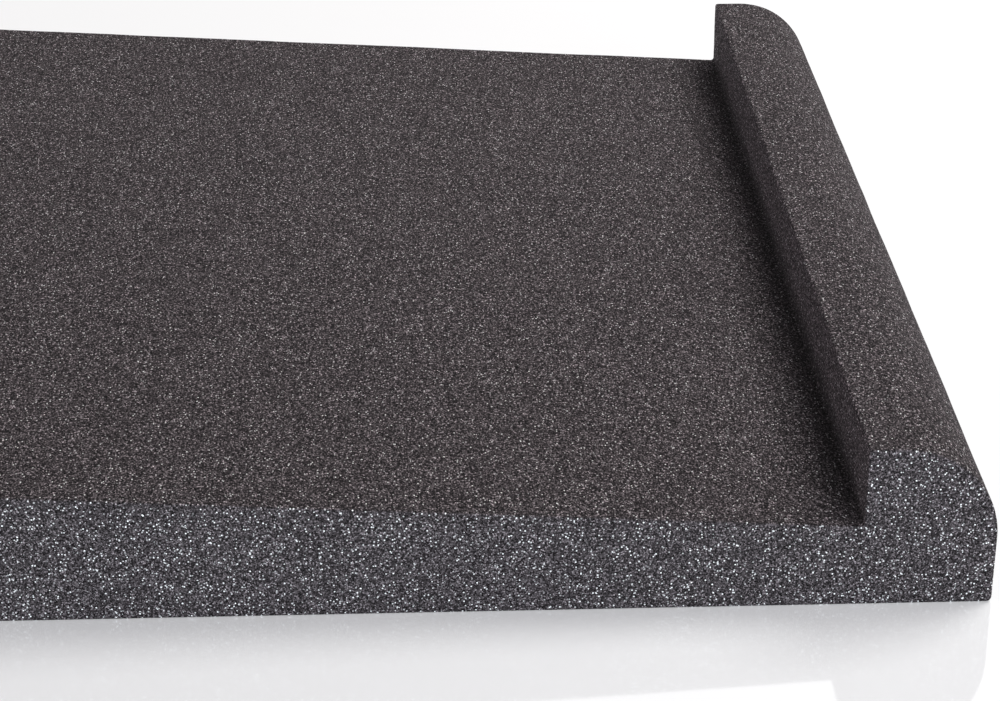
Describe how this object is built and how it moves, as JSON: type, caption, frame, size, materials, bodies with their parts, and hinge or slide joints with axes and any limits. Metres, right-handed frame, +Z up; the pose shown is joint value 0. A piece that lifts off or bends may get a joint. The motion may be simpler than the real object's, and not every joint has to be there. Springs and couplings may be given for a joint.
{
  "type": "speaker isolation pad",
  "caption": "Wedge of open-cell foam that a studio loudspeaker stands on: a sloping bed with a raised, round-shouldered stop along its low end.",
  "frame": {"origin": "middle of the flat underside", "axes": "+X along the pad's length towards the raised stop, +Y along the stop, +Z up"},
  "size_m": [0.36, 0.31, 0.04],
  "materials": {
    "foam": "matte charcoal open-cell polyurethane foam with fine glinting cells"
  },
  "bodies": {
    "root": {"foam_pad": "foam"}
  },
  "joints": []
}
